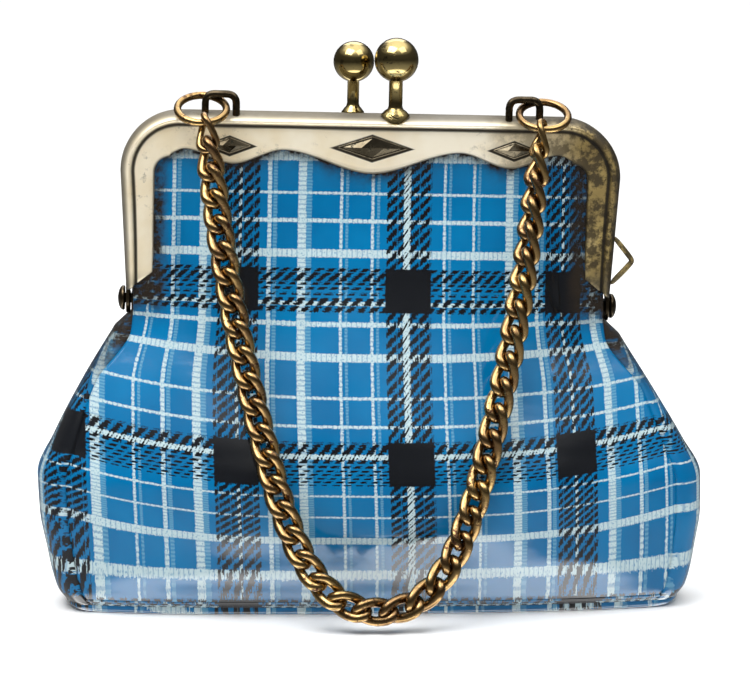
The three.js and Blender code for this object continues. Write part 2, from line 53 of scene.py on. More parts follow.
# The frame group's own axes: the closed frame leans sideways about the middle of its hinge.
HINGE = Vector((0, 0, 61.5))  # mm
TILT = math.radians(1.3)
FRAME_TOP = 99.6
FRAME_HALF_WIDTH = 50.2
FRAME_HALF_WIDTH_LOW = 48.8
FRAME_CORNER = 12
FRAME_DEPTH = 5
ARM_INNER = 43.3
ARM_END_OUTER = 63.4
ARM_END_INNER = 67.6
ARM_CUT_TOP = 68  # the rear arms are reshaped below this height
GAP = 0.3
SHEET = 0.5
EAR_RADIUS = 3
EAR_SHEET = 0.8
EAR_CLEARANCE = 3.9
# Middle x, half width, half height and depth below the frame's top
LOZENGES = [(0, 7.6, 2.4, 6.5), (-28.4, 4.6, 1.7, 6.5), (28.4, 4.6, 1.7, 6.5)]

# Bag outline by height, mm: [z, panel half width, silhouette half width, seam depth, middle depth]
BAG = np.array([
    [0, 56.5, 62, 10.5, 14.2],
    [4, 58.7, 64.4, 11.5, 15.9],
    [8, 59.6, 65.5, 12.2, 17.8],
    [12, 60.2, 66.2, 12.8, 19.2],
    [20, 60.9, 67.4, 14.2, 21.4],
    [27, 61, 67.5, 14.5, 22.4],
    [34, 59, 64.2, 12.8, 20.6],
    [46, 54.6, 57.4, 9, 15.4],
    [56, 47.6, 51.2, 6.2, 11.2],
    [61.5, 47.2, 48, 4.8, 9.4],
    [66.5, 47.2, 47.4, 4.4, 7.9],
    [72, 46.0, 46.4, 4, 6.5],
    [79, 45.4, 46, 4, 4.8],
    [85, 45.4, 46, 4, 4],
    [94.6, 45.4, 46, 4, 4],
])
TILT_FROM = 12
BAG_LEAN = 0.9
SEAM_Z = 1.6
PANEL_TOP = 94.6
PANEL_STEPS = 150
VINYL = 0.45
GUSSET_ROUNDNESS = 2.2


# ---- small helpers


def smoothstep(low, high, value):
    t = np.clip((np.asarray(value, float) - low) / (high - low), 0, 1)
    return t * t * (3 - 2 * t)


def bump(value, centre, width):
    return np.exp(-(((np.asarray(value, float) - centre) / width) ** 2))


def smooth_rows(table, at):
    """Values of a table's columns at the given first-column values, by monotone cubic steps."""
    z = table[:, 0]
    at = np.clip(np.asarray(at, float), z[0], z[-1])
    k = np.clip(np.searchsorted(z, at, side="right") - 1, 0, len(z) - 2)
    span = np.diff(z)
    out = []
    for column in table.T[1:]:
        slope = np.diff(column) / span
        inner = np.where(slope[:-1] * slope[1:] > 0,
                         2 * slope[:-1] * slope[1:] / (slope[:-1] + slope[1:] + 1e-12), 0)
        tangent = np.concatenate([[0], inner, [0]])
        t = (at - z[k]) / span[k]
        out.append((2 * t**3 - 3 * t**2 + 1) * column[k] + (t**3 - 2 * t**2 + t) * span[k] * tangent[k]
                   + (3 * t**2 - 2 * t**3) * column[k + 1] + (t**3 - t**2) * span[k] * tangent[k + 1])
    return out


def on_frame(points):
    """Points of the untilted frame, in mm, turned to where the frame stands."""
    p = np.asarray(points, float)
    x, z = p[..., 0], p[..., 2] - HINGE.z
    return np.stack([x * math.cos(TILT) + z * math.sin(TILT), p[..., 1],
                     HINGE.z - x * math.sin(TILT) + z * math.cos(TILT)], -1)


def follow_frame(x, y, z):
    """Bag points, turned with the frame above the hinge and level at the foot."""
    angle = TILT * smoothstep(TILT_FROM, HINGE.z, z)
    up = z - HINGE.z
    lean = BAG_LEAN * np.clip(1 - z / HINGE.z, 0, 1)
    return np.stack([x * np.cos(angle) + up * np.sin(angle) + lean, y + 0 * x,
                     HINGE.z - x * np.sin(angle) + up * np.cos(angle)], -1)


def add_object(name, data):
    obj = bpy.data.objects.new(name, data)
    bpy.context.scene.collection.objects.link(obj)
    return obj


def new_object(name, points_mm, faces, smooth=True):
    mesh = bpy.data.meshes.new(name)
    mesh.from_pydata((np.asarray(points_mm, float).reshape(-1, 3) * MM).tolist(), [], faces)
    mesh.update()
    for polygon in mesh.polygons:
        polygon.use_smooth = smooth
    return add_object(name, mesh)


def grid_faces(rows, columns, wrap_rows=False, wrap_columns=False, flip=False):
    faces = []
    for j in range(rows if wrap_rows else rows - 1):
        for i in range(columns if wrap_columns else columns - 1):
            right, above = (i + 1) % columns, (j + 1) % rows
            face = (j * columns + i, j * columns + right, above * columns + right, above * columns + i)
            faces.append(face[::-1] if flip else face)
    return faces


def apply_modifiers(obj):
    graph = bpy.context.evaluated_depsgraph_get()
    graph.update()
    mesh = bpy.data.meshes.new_from_object(obj.evaluated_get(graph), preserve_all_data_layers=True,
                                           depsgraph=graph)
    obj.modifiers.clear()
    obj.data = mesh
    return obj


def fix_normals(obj):
    work = bmesh.new()
    work.from_mesh(obj.data)
    bmesh.ops.recalc_face_normals(work, faces=work.faces)
    work.to_mesh(obj.data)
    work.free()


def soften_edges(obj, width_mm):
    fix_normals(obj)
    bevel = obj.modifiers.new("soft_edges", "BEVEL")
    bevel.width = width_mm * MM
    bevel.segments = 2
    return apply_modifiers(obj)


def thicken(obj, thickness_mm, offset=-1.0):
    solid = obj.modifiers.new("thickness", "SOLIDIFY")
    solid.thickness = thickness_mm * MM
    solid.offset = offset
    return apply_modifiers(obj)


def lathe(name, profile, segments=48):
    """A turned piece about Z from (radius, height) points in mm; both ends lie on the axis."""
    profile = np.asarray(profile, float)
    inner = profile[1:-1]
    angles = np.linspace(0, 2 * math.pi, segments, endpoint=False)
    points = [(r * math.cos(a), r * math.sin(a), h) for r, h in inner for a in angles]
    faces = grid_faces(len(inner), segments, wrap_columns=True)
    bottom, top = len(points), len(points) + 1
    points += [(0, 0, profile[0][1]), (0, 0, profile[-1][1])]
    last = (len(inner) - 1) * segments
    for i in range(segments):
        j = (i + 1) % segments
        faces.append((bottom, j, i))
        faces.append((top, last + i, last + j))
    return new_object(name, points, faces)


def place(obj, matrix):
    obj.data.transform(matrix)
    return obj


def unit(vectors):
    return vectors / np.linalg.norm(vectors, axis=-1, keepdims=True)


def tube(centres, out, up, radius, sides):
    """Points of a round section carried along a run of centres with given side vectors."""
    turn = np.linspace(0, 2 * math.pi, sides, endpoint=False)
    return centres[:, None] + radius * (np.cos(turn)[None, :, None] * out[:, None]
                                        + np.sin(turn)[None, :, None] * up[:, None])


def wire_loop(name, points):
    """A closed wire from the points of a tube whose ends meet."""
    return new_object(name, points, grid_faces(*points.shape[:2], wrap_rows=True, wrap_columns=True))


def set_material(obj, material):
    obj.data.materials.clear()
    obj.data.materials.append(material)


def finish_piece(obj, material, slot, body, *nodes):
    """Give a piece its material, hide the CAD nodes it stands in for and attach it to its body; the slot
    argument is not used.
    """
    set_material(obj, MATERIALS[material])
    if nodes:
        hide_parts(*nodes)
    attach(obj, body)


def link_run(tree, *nodes):
    """Link each node's first output to the next one's first input."""
    for source, target in zip(nodes, nodes[1:]):
        tree.links.new(source.outputs[0], target.inputs[0])


def fill_ramp(node, stops):
    """Set a colour ramp's stops from positions and colours."""
    elements = node.color_ramp.elements
    while len(elements) < len(stops):
        elements.new(0.5)
    for element, (position, colour) in zip(elements, stops):
        element.position = position
        element.color = (*colour, 1)


# ---- material nodes


class Nodes:
    """Short calls for building a material's node tree."""

    def __init__(self, name):
        self.material = bpy.data.materials.new(name)
        self.material.use_nodes = True
        self.tree = self.material.node_tree
        self.shader = self.tree.nodes["Principled BSDF"]
        self.place = self.add("ShaderNodeTexCoord").outputs["Object"]

    def add(self, kind, **settings):
        node = self.tree.nodes.new(kind)
        for key, value in settings.items():
            setattr(node, key, value)
        return node

    def link(self, value, socket):
        if isinstance(value, bpy.types.NodeSocket):
            self.tree.links.new(value, socket)
        else:
            socket.default_value = value

    def math(self, operation, a, b=0.0, clamp=False):
        node = self.add("ShaderNodeMath", operation=operation, use_clamp=clamp)
        for value, socket in zip((a, b), node.inputs):
            self.link(value, socket)
        return node.outputs[0]

    def below(self, value, limit):
        return self.math("LESS_THAN", value, limit)

    def within(self, value, low, high):
        return self.times(self.math("GREATER_THAN", value, low), self.below(value, high))

    def times(self, *values):
        """The product of values; of masks, the part where all of them hold."""
        out = values[0]
        for value in values[1:]:
            out = self.math("MULTIPLY", out, value)
        return out

    def plus(self, a, b):
        return self.math("ADD", a, b)

    def minus(self, a, b):
        return self.math("SUBTRACT", a, b)

    def over(self, a, b):
        return self.math("DIVIDE", a, b)

    def inverse(self, mask):
        return self.math("SUBTRACT", 1.0, mask)

    def dashes(self, value, period, share):
        """Mask of the first share of every period along a value."""
        return self.below(self.math("FRACT", self.over(value, period)), share)

    def split(self, vector):
        node = self.add("ShaderNodeSeparateXYZ")
        self.link(vector, node.inputs[0])
        return node.outputs

    def either(self, *masks):
        out = masks[0]
        for mask in masks[1:]:
            out = self.math("MAXIMUM", out, mask)
        return out

    def mix(self, factor, a, b):
        node = self.add("ShaderNodeMix", data_type="RGBA")
        self.link(factor, node.inputs[0])
        self.link(a, node.inputs[6])
        self.link(b, node.inputs[7])
        return node.outputs[2]

    def noise(self, scale, detail=2.0, coordinate=None, roughness=0.5):
        node = self.add("ShaderNodeTexNoise")
        node.inputs["Scale"].default_value = scale
        node.inputs["Detail"].default_value = detail
        node.inputs["Roughness"].default_value = roughness
        self.link(self.place if coordinate is None else coordinate, node.inputs["Vector"])
        return node.outputs["Fac"]

    def range(self, value, low, high, out_low=0.0, out_high=1.0):
        node = self.add("ShaderNodeMapRange")
        for v, socket in zip((value, low, high, out_low, out_high), node.inputs):
            self.link(v, socket)
        return node.outputs[0]

    def bump(self, height, distance, strength=1.0):
        node = self.add("ShaderNodeBump")
        node.inputs["Strength"].default_value = strength
        node.inputs["Distance"].default_value = distance
        self.link(height, node.inputs["Height"])
        return node.outputs[0]

    def set(self, **values):
        for key, value in values.items():
            self.link(value, self.shader.inputs[key.replace("_", " ")])


# The sett, in mm from the middle of its white-lined bar; both thread directions share it.
BAR_HALF = 4.5
BAR_SPACING = 34.6
SETT_REPEAT = 69.0
THIN, WIDE = 0.34, 0.84
STRIPES = [(7.2, THIN), (13.6, THIN), (21.5, WIDE), (28.2, THIN), (42.2, WIDE),
           (49.0, THIN), (54.8, THIN), (62.6, WIDE)]

TWILL_STEP = 0.42

BLUE = (0.000, 0.150, 0.345, 1)
DEEP_BLUE = (0.000, 0.105, 0.262, 1)
WHITE = (0.44, 0.56, 0.58, 1)
PALE = (0.14, 0.34, 0.46, 1)
INK = (0.0055, 0.0065, 0.0085, 1)
# Dark brown mixed over the cloth: tarnish stain, and painted shade by the frame and on the gussets' tops
GRIME_AND_SHADE = (0.020, 0.015, 0.011, 1)


def sett_group():
    """Node group: a distance from the sett's middle, in mm, to masks of white stripe and of bar."""
    group = bpy.data.node_groups.new("sett", "ShaderNodeTree")
    group.interface.new_socket("t", in_out="INPUT", socket_type="NodeSocketFloat")
    for name in ("stripe", "bar"):
        group.interface.new_socket(name, in_out="OUTPUT", socket_type="NodeSocketFloat")
    nodes = group.nodes
    enter = nodes.new("NodeGroupInput")
    leave = nodes.new("NodeGroupOutput")
    fold, scale = nodes.new("ShaderNodeMath"), nodes.new("ShaderNodeMath")
    fold.operation, scale.operation = "PINGPONG", "DIVIDE"
    fold.inputs[1].default_value = SETT_REPEAT
    scale.inputs[1].default_value = SETT_REPEAT + 1
    ramp = nodes.new("ShaderNodeValToRGB")
    ramp.color_ramp.interpolation = "CONSTANT"
    stripe, bar, ground = (1, 0, 0), (0, 1, 0), (0, 0, 0)
    edges = [(0, bar), (BAR_HALF, ground), (BAR_SPACING - BAR_HALF, bar), (BAR_SPACING + BAR_HALF, ground),
             (SETT_REPEAT - BAR_HALF, bar)]
    for centre, half in STRIPES:
        edges += [(centre - half, stripe), (centre + half, ground)]
    edges.sort(key=lambda edge: edge[0])
    fill_ramp(ramp, [(position / (SETT_REPEAT + 1), colour) for position, colour in edges])
    split = nodes.new("ShaderNodeSeparateColor")
    link_run(group, enter, fold, scale, ramp, split, leave)
    group.links.new(split.outputs[1], leave.inputs[1])
    return group


def tartan_colour(n):
    """The printed cloth: blue ground, white stripes, twill-dashed bars and solid squares where bars cross."""
    cloth = n.add("ShaderNodeAttribute", attribute_name="cloth").outputs["Vector"]
    u, v, soil_and_shade = n.split(cloth)
    fuzz = n.noise(2.9, 4, cloth, 0.8)
    jitter = n.range(fuzz, 0.3, 0.7, -0.22, 0.22)
    rough = n.range(n.noise(1.5, 3, cloth, 0.75), 0.3, 0.7, -0.5, 0.5)
    ju = n.plus(u, jitter)
    jv = n.plus(v, jitter)
    group = sett_group()

    def sett(value):
        node = n.add("ShaderNodeGroup", node_tree=group)
        n.link(n.math("ABSOLUTE", value), node.inputs[0])
        return node.outputs[0], node.outputs[1]

    stripe_u, bar_u = sett(ju)
    stripe_v, bar_v = sett(jv)
    partner_u, _ = sett(n.minus(ju, 1.15))
    row_ticks = n.range(n.math("SINE", n.times(v, 9.2)), -0.4, 0.5, 0.30, 0.65)
    partner = n.times(partner_u, row_ticks, n.inverse(stripe_u))
    beads_u = n.range(n.math("SINE", n.times(v, 6.2)), -0.9, -0.2, 0.55, 1.0)
    beads_v = n.range(n.math("SINE", n.times(u, 6.2)), -1.0, -0.4, 0.55, 1.0)
    stripe_u = n.times(stripe_u, beads_u)
    stripe_v = n.times(stripe_v, beads_v)

    # Twill dashes: strokes that rise to the right, in small steps
    stair_u = n.times(n.math("FLOOR", n.over(u, TWILL_STEP)), TWILL_STEP)
    stair_v = n.times(n.math("FLOOR", n.over(v, TWILL_STEP)), TWILL_STEP)
    slant_u = n.minus(n.plus(v, rough), n.times(stair_u, 1.05))
    slant_v = n.minus(n.plus(u, rough), n.times(stair_v, 0.95))
    dash_u = n.times(n.dashes(slant_u, 2.35, 0.60), n.dashes(ju, 2.25, 0.93))
    dash_v = n.times(n.dashes(slant_v, 2.3, 0.62), n.dashes(jv, 2.25, 0.93))
    fine_rows = n.dashes(v, 0.95, 0.58)

    def lines(value, shifted, core, dots):
        """Masks of a main bar's white core and of the white line by a plain bar's middle."""
        distance = n.math("ABSOLUTE", value)
        folded = n.math("PINGPONG", distance, SETT_REPEAT)
        beside = n.within(folded, BAR_SPACING + dots[0], BAR_SPACING + dots[1])
        return n.times(n.below(distance, BAR_HALF), n.within(shifted, *core)), beside

    white_core_u, dotted_u = lines(u, ju, (-1.1, 0.3), (-0.5, 0.1))
    white_core_v, dotted_v = lines(v, jv, (1.6, 2.5), (-3.1, -2.4))
    fine_zone_v = n.either(n.within(v, BAR_SPACING - 2.2, BAR_SPACING + 1.0), n.within(v, -4.4, 0.9))

    dash_v = n.times(dash_v, n.inverse(n.times(fine_zone_v, n.inverse(fine_rows))))
    core_gap = n.dashes(n.minus(v, n.times(u, 1.6)), 1.25, 0.5)

    ground = n.mix(n.range(n.noise(0.05, 3, cloth), 0.3, 0.7), BLUE, DEEP_BLUE)
    colour = n.mix(partner, ground, PALE)
    white = n.either(stripe_u, stripe_v, white_core_u, white_core_v, n.times(dotted_u, bar_u),
                     n.times(dotted_v, bar_v))
    worn = n.range(n.noise(3.4, 2, cloth), 0.30, 0.46, 0.20, 1.0)
    colour = n.mix(n.times(white, worn), colour, WHITE)
    open_core = n.inverse(core_gap)
    ink_u = n.times(bar_u, dash_u, n.inverse(n.times(white_core_u, open_core)))
    ink_v = n.times(bar_v, dash_v, n.inverse(n.times(white_core_v, open_core)))
    ink = n.either(ink_u, ink_v, n.times(bar_u, bar_v))
    printed = n.mix(ink, colour, INK)
    # Darkening from the cloth attribute's third number, broken into patches: tarnish stain plus painted shade
    patches = n.range(n.noise(0.45, 4, cloth, 0.7), 0.35, 0.65, 0.45, 1.3)
    darkening = n.math("MULTIPLY", n.times(soil_and_shade, patches), 1.15, clamp=True)
    return n.mix(darkening, printed, GRIME_AND_SHADE), fuzz


def tartan_vinyl():
    n = Nodes("tartan_vinyl")
    colour, fuzz = tartan_colour(n)
    n.set(Base_Color=colour)
    smears = n.noise(120, 4, None, 0.6)
    n.set(Roughness=n.range(smears, 0.3, 0.75, 0.05, 0.16))
    relief = n.plus(n.noise(260, 2), n.times(fuzz, 0.10))
    n.set(Normal=n.bump(relief, 0.00012, 0.55))
    n.set(IOR=1.5, Coat_Weight=0.35, Coat_Roughness=0.04)
    return n.material


def metal(name, bright, dark, darkening, scale, roughness, grime_cut, bump_size=0.00004, scratch=900):
    """Plated metal: two tones that drift, dark specks in patches, and rougher where it is worn."""
    n = Nodes(name)
    drift = n.noise(scale, 4, None, 0.6)
    tone = n.mix(n.range(drift, 0.35, 0.68), bright, dark)
    specks = n.noise(scale * 9, 3, None, 0.7)
    patches = n.noise(scale * 1.7, 3, None, 0.6)
    mask = n.times(n.range(specks, grime_cut, grime_cut + 0.06), n.range(patches, 0.45, 0.62))
    colour = n.mix(mask, tone, darkening)
    n.set(Base_Color=colour, Metallic=1.0)
    n.set(Roughness=n.range(n.plus(n.times(specks, 0.4), n.times(mask, 0.6)),
                            0.1, 0.9, roughness[0], roughness[1]))
    n.set(Normal=n.bump(n.plus(n.noise(scratch, 3), n.times(mask, -0.6)), bump_size, 0.5))
    return n.material


def frame_gold():
    """Pale satin plating on the pressed frame: bright face, pitted and turning darker and brassier towards the
    right arm, partly worn plating and partly painted shade.
    """
    n = Nodes("frame_gold")
    x, _, z = n.split(n.place)
    drift = n.noise(45, 4, None, 0.6)
    # Painted shade in part: the face darkens towards the right arm, away from the key light, along with worn
    # brassy plating there
    sideways = n.range(n.plus(x, n.times(n.minus(drift, 0.5), 0.030)), 0.020, 0.044)
    pale = n.mix(n.range(drift, 0.40, 0.75), (1.0, 0.92, 0.74, 1), (0.82, 0.66, 0.38, 1))
    brassy_and_shaded = n.mix(n.range(drift, 0.35, 0.6), (0.56, 0.42, 0.15, 1), (0.24, 0.17, 0.06, 1))
    colour = n.mix(sideways, pale, brassy_and_shaded)
    grain = n.noise(620, 4, None, 0.75)
    pits = n.range(grain, 0.56, 0.64)
    where = n.range(n.noise(70, 3, None, 0.6), 0.50, 0.66, 0.0, 0.5)
    wear = n.times(pits, n.math("ADD", where, n.times(sideways, 0.85), clamp=True))
    mottle = n.range(n.noise(420, 4, None, 0.7), 0.42, 0.56, 0.0, 0.95)
    wear = n.math("MAXIMUM", wear, n.times(mottle, sideways))
    ends = n.range(z, 0.0655, 0.0690, 0.5, 0.0)
    border = lozenge_border(n, x, z)
    colour = n.mix(wear, colour, (0.055, 0.040, 0.018, 1))
    colour = n.mix(ends, colour, (0.17, 0.145, 0.085, 1))
    colour = n.mix(border, colour, (0.030, 0.024, 0.014, 1))
    # Painted shade on the rim and painted shadow in the groove, with tarnish on the inner edge, from the frame
    # half's attribute
    groove = n.add("ShaderNodeAttribute", attribute_name="groove").outputs["Fac"]
    colour = n.mix(groove, colour, (0.016, 0.012, 0.006, 1))
    n.set(Base_Color=colour, Metallic=0.42)
    dull = n.math("MAXIMUM", n.times(wear, 0.6), groove)
    n.set(Roughness=n.plus(n.range(grain, 0.3, 0.7, 0.28, 0.42), n.times(dull, 0.34)))
    n.set(Normal=n.bump(n.plus(grain, n.times(n.plus(wear, border), -0.8)),
                        0.00005, 0.5))
    return n.material


def lozenge_border(n, x, z):
    """Mask of the dark sunk border round each raised lozenge, in the tilted frame's own axes."""
    c, s = math.cos(TILT), math.sin(TILT)
    up = n.minus(z, HINGE.z * MM)
    across = n.minus(n.times(x, c), n.times(up, s))
    height = n.plus(n.times(x, s), n.times(up, c))
    masks = []
    for cx, half_w, half_h, depth in LOZENGES:
        side = n.over(n.math("ABSOLUTE", n.minus(across, cx * MM)), (half_w + 0.9) * MM)
        rise = n.minus(height, (FRAME_TOP - depth - HINGE.z - 0.12) * MM)
        tall = n.over(n.math("ABSOLUTE", rise), (half_h + 0.42) * MM)
        masks.append(n.range(n.plus(side, tall), 0.96, 1.03, 1.0, 0.0))
    return n.either(*masks)


def plain_stock(name, light, dark, scale, roughness):
    """Matt fibrous stock: board or cloth backing."""
    n = Nodes(name)
    fibres = n.noise(scale, 5, None, 0.75)
    n.set(Base_Color=n.mix(n.range(fibres, 0.35, 0.65), light, dark))
    n.set(Roughness=n.range(fibres, 0.2, 0.8, roughness - 0.08, roughness + 0.05))
    n.set(Normal=n.bump(fibres, 0.0001, 0.5))
    return n.material


def floor_material():
    n = Nodes("floor")
    n.set(Base_Color=n.mix(n.noise(3, 2), (0.93, 0.93, 0.93, 1), (0.95, 0.95, 0.95, 1)))
    n.set(Roughness=0.6)
    return n.material


MATERIALS = {
    "vinyl": tartan_vinyl(),
    "backing": plain_stock("cloth_backing", (0.42, 0.31, 0.19, 1), (0.30, 0.21, 0.12, 1), 1800, 0.9),
    "gold": frame_gold(),
    "knob": metal("knob_gold", (0.42, 0.33, 0.14, 1), (0.24, 0.18, 0.07, 1), (0.03, 0.025, 0.015, 1),
                  90, (0.07, 0.32), 0.55),
    "chain": metal("chain_brass", (0.42, 0.28, 0.11, 1), (0.22, 0.13, 0.06, 1), (0.07, 0.03, 0.02, 1),
                   120, (0.20, 0.45), 0.52),
    "dark": metal("dark_brass", (0.10, 0.075, 0.045, 1), (0.045, 0.035, 0.022, 1), (0.02, 0.015, 0.01, 1),
                  90, (0.25, 0.5), 0.50),
    "stud": metal("lozenge_metal", (0.13, 0.11, 0.075, 1), (0.05, 0.038, 0.022, 1), (0.02, 0.02, 0.015, 1),
                  120, (0.18, 0.42), 0.55),
    "board": plain_stock("grey_board", (0.33, 0.28, 0.21, 1), (0.24, 0.20, 0.15, 1), 900, 0.9),
}


# ---- bag


# Height on the bag and height on the cloth, mm from the middle of its main bar
CLOTH_HEIGHTS = np.array([
    [-2.0, -36.0], [2.8, -30.6], [10.0, -28.0], [16.8, -21.5], [21.6, -13.4], [26.0, -7.0], [31.1, 0.0],
    [39.0, 7.4], [43.8, 13.2], [51.7, 21.4], [57.4, 27.6], [65.3, 34.6], [71.0, 41.4], [76.2, 46.8],
    [81.3, 52.2], [86.6, 58.0], [100.0, 72.0],
])
CLOTH_SHIFT = 7.8  # the cloth's main bar stands right of the bag's middle


def cloth_at(x, z):
    """Cloth coordinates of a front point: lines gather towards the frame and rise towards the sides."""
    gather = 0.06 * smoothstep(46, 60, z) * np.clip(np.abs(x) / 43, 0, 1.2) ** 2
    rise = 4.0 * np.clip(np.abs(x) / 55.4, 0, 1.15) ** 2.6 * (
        smoothstep(4, 24, z) * (1 - smoothstep(52, 64, z)))
    stretch = 0.0011 * np.clip(x, 0, None) ** 2
    return x * (1 + gather) + stretch - CLOTH_SHIFT, np.interp(z - rise, *CLOTH_HEIGHTS.T)


def wobble(x, z, seed):
    """Soft dents and swellings of stretched vinyl, in mm."""
    total = 0
    for k, (fx, fz, size) in enumerate(((0.055, 0.07, 0.34), (0.11, 0.05, 0.22), (0.17, 0.13, 0.10))):
        total = total + size * np.sin(fx * x * 2 + seed * 1.7 + k * 2.1) * np.sin(fz * z * 2 + seed + k * 1.3)
    return total


def front_surface(u, z, facing):
    """Panel surface for u from -1 to 1 and heights z; facing is -1 for the front and 1 for the rear."""
    width, _, seam, middle = smooth_rows(BAG, z)
    swell = 1 - np.abs(u) ** 3
    x = u * width
    depth = seam + (middle - seam) * swell
    free = smoothstep(3, 14, z) * (1 - smoothstep(78, 86, z)) * (1 - np.abs(u) ** 6)
    depth = depth + wobble(x, z, 1.0 if facing < 0 else 4.0) * free
    if facing < 0:
        depth = depth + 1.1 * bump(x, 6, 17) * bump(z, 19, 5) + 0.5 * bump(x, -38, 16) * bump(z, 9, 3.5)
        depth = depth + 0.5 * bump(x, 40, 13) * bump(z, 12, 4)
    # Pleats beside the arms, where the cloth is drawn into the frame
    for side, reach in ((-1, 0.9), (1, 1.5)):
        at_arm = side * (40.2 - 2.2 * bump(z, 70, 9) * (side > 0))
        depth = depth + reach * bump(x, at_arm, 1.5) * bump(z, 70, 12) * (facing < 0)
        depth = depth - 0.7 * reach * bump(x, at_arm - side * 3.4, 2.2) * bump(z, 68, 12) * (facing < 0)
    return follow_frame(x, facing * depth, z), x


def gusset_surface(side, u, z):
    """Side panel for u from -1 at the front seam to 1 at the rear seam."""
    width, outer, seam, _ = smooth_rows(BAG, z)
    neck = np.interp(z, *GUSSET_NECK.T)
    outer = np.where(z > GUSSET_NECK[1, 0], np.maximum(neck, width + 0.3), outer)
    swell = (1 - np.clip(np.abs(u), 0, 1) ** GUSSET_ROUNDNESS) ** (1 / GUSSET_ROUNDNESS)
    x = side * (width + (outer - width) * swell)
    return follow_frame(x, u * seam, z)


def cloth_attribute(obj, uv, soil_and_shade=0.0):
    """Cloth coordinates in mm, with the share of tarnish stain and painted shade as the third number."""
    values = np.zeros((len(obj.data.vertices), 3), np.float32)
    values[:, :2] = uv.reshape(-1, 2)
    values[:, 2] = np.ravel(soil_and_shade + 0 * uv[..., 0])
    attribute = obj.data.attributes.new("cloth", "FLOAT_VECTOR", "POINT")
    attribute.data.foreach_set("vector", values.ravel())


def skin(name, points, uv, flip, soil_and_shade=0.0):
    rows, columns = points.shape[:2]
    obj = new_object(name, points, grid_faces(rows, columns, flip=flip))
    cloth_attribute(obj, uv, soil_and_shade)
    thicken(obj, VINYL)
    set_material(obj, MATERIALS["vinyl"])
    obj.data.materials.append(MATERIALS["backing"])
    # The inner side and the cut edge show the cloth backing
    for polygon in obj.data.polygons:
        polygon.material_index = int(polygon.index >= (rows - 1) * (columns - 1))
    return obj


def frame_stain_and_shade(x, z):
    """Tarnish stain crept out from the metal's edge over the cloth, with painted shade in the folds beside the
    arms and painted shadow under the scallops, 0 to 1.
    """
    to_arm = ARM_INNER - np.abs(x)
    to_face = scallop_height(x) - z
    reach = np.where(x > 0, 5.0, 4.0)
    # Painted shade of the folds beside the arms, strongest by the right arm
    by_arm = (1 - smoothstep(0.12, 0.95, to_arm / reach)) * smoothstep(56, 64, z) * np.where(x > 0, 1.3, 0.9)
    return np.clip(np.maximum(by_arm, np.exp(-np.clip(to_face, 0, None) / 1.4)), 0, 1)


def panel(name, facing):
    z = np.linspace(SEAM_Z, PANEL_TOP, PANEL_STEPS)[:, None]
    u = np.linspace(-1, 1, PANEL_STEPS)[None, :]
    z, u = np.broadcast_arrays(z, u)
    points, x = front_surface(u, z, facing)
    cu, cv = cloth_at(x, z)
    if facing > 0:
        cu = -cu
    return skin(name, points, np.stack([cu, cv], -1), flip=facing > 0, soil_and_shade=frame_stain_and_shade(x, z))


# Gusset outline above the shoulder, where it tucks in between the arms: height and half width
GUSSET_NECK = np.array([[0, 0], [56, 51.2], [58.2, 48.8], [59.8, 46.6], [62, 45.9], [66, 45.6], [70, 45.6]])
GUSSET_TOP, GUSSET_DIP = 65.2, 4.6


def gusset(name, side):
    """One side panel, from its front seam round to its rear seam, with a dip in its top edge."""
    rows, columns = 110, 46
    t = np.linspace(0, 1, rows)[:, None]
    u = np.sin(np.linspace(-1, 1, columns) * math.pi / 2)[None, :]
    top = GUSSET_TOP - GUSSET_DIP * (1 - np.abs(u) ** 1.5)
    z = SEAM_Z + (top - SEAM_Z) * t
    u = u + 0 * z
    points = gusset_surface(side, u, z)
    width, _, seam, _ = smooth_rows(BAG, z)
    seam_u, cv = cloth_at(side * width, z)
    cu = seam_u + side * ((1 - np.abs(u)) * seam + 1.0)
    cu = np.where(u > 0, -cu, cu)
    # Painted shade: the gusset darkens towards its top, by the hinge
    return skin(name, points, np.stack([cu, cv], -1), flip=side < 0, soil_and_shade=smoothstep(40, 58, z))


def bag_pieces():
    front = panel("front_panel_cloth", -1)
    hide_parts("front_panel")
    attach(front, "bag")

    rear = panel("rear_panel_cloth", 1)
    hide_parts("rear_panel_lower", "rear_panel_fold", "rear_panel_upper")
    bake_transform(rear)

    for side, word in SIDES:
        piece = gusset(f"gusset_{word}_cloth", side)
        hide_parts(f"gusset_{word}")
        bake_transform(piece)


# The base's skin from its top down: share of the full outline and height
BASE_LEVELS = [(1.0, SEAM_Z + 0.3), (1.0, 1.2), (0.995, 0.7), (0.985, 0.3), (0.965, 0.06), (0.93, 0.0),
               (0.6, 0.0), (0.2, 0.0)]
BASE_CLOTH_HEIGHT = -36
PIPING_RADIUS, PIPING_SIDES = 0.55, 8
PIPING_CLOTH = (-8, -31.5)


def base_outline():
    """The foot's outline in mm: the front and the right side, then the same turned half round."""
    width, outer, seam, middle = [float(v) for v in smooth_rows(BAG, SEAM_Z)]
    u = np.linspace(-1, 1, 60, endpoint=False)
    front = np.column_stack([u * width, -(seam + (middle - seam) * (1 - np.abs(u) ** 3))])
    u = np.linspace(-1, 1, 20, endpoint=False)
    swell = (1 - np.abs(u) ** GUSSET_ROUNDNESS) ** (1 / GUSSET_ROUNDNESS)
    half = np.vstack([front, np.column_stack([width + (outer - width) * swell, u * seam])])
    return np.vstack([half, -half])


def base_piece():
    """The base: the foot of the bag, closed underneath, with a rounded lower edge."""
    run = base_outline()
    points = np.stack([np.column_stack([run * scale, np.full(len(run), z)]) for scale, z in BASE_LEVELS])
    points += [BAG_LEAN, 0, 0]
    rows, columns = points.shape[:2]
    underside = tuple(range((rows - 1) * columns, rows * columns))
    obj = new_object("base_skin", points, grid_faces(rows, columns, wrap_columns=True, flip=True) + [underside])
    cloth_attribute(obj, points[..., :2] + [-CLOTH_SHIFT, BASE_CLOTH_HEIGHT])
    finish_piece(obj, "vinyl", "tartan_vinyl", "bag", "base_panel")


